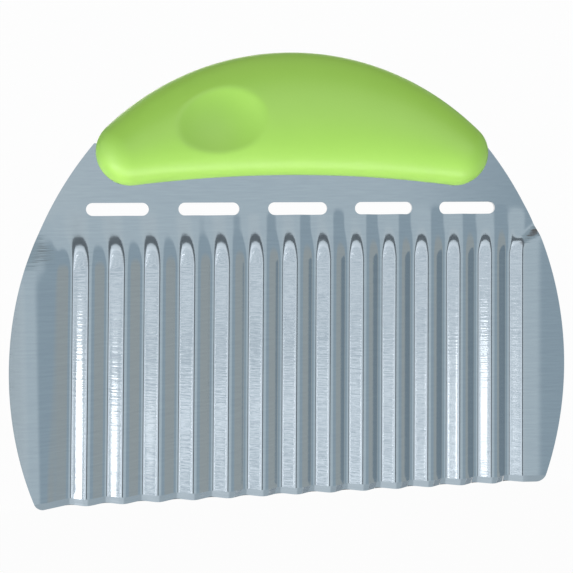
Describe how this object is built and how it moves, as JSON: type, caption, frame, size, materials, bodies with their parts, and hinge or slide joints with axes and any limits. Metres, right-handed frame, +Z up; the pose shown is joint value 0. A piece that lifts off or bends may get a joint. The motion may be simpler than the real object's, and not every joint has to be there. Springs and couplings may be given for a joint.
{
  "type": "crinkle cutter",
  "caption": "Hand-held crinkle cutter: a corrugated steel blade with curved sides and a slotted web, held in a two-shell plastic palm grip with a thumb dish.",
  "frame": {"origin": "middle of the cutting edge, at the bottom centre of the part's box", "axes": "+X along the cutting edge, +Y from the front face with the thumb dish to the back, +Z up to the handle"},
  "size_m": [0.14, 0.018, 0.11],
  "materials": {
    "blade_steel": "rolled stainless sheet with fine brush lines across the waves",
    "handle_plastic": "satin moulded lime green plastic"
  },
  "bodies": {
    "root": {"blade": "blade_steel", "handle_front_shell": "handle_plastic", "handle_rear_shell": "handle_plastic"}
  },
  "joints": []
}
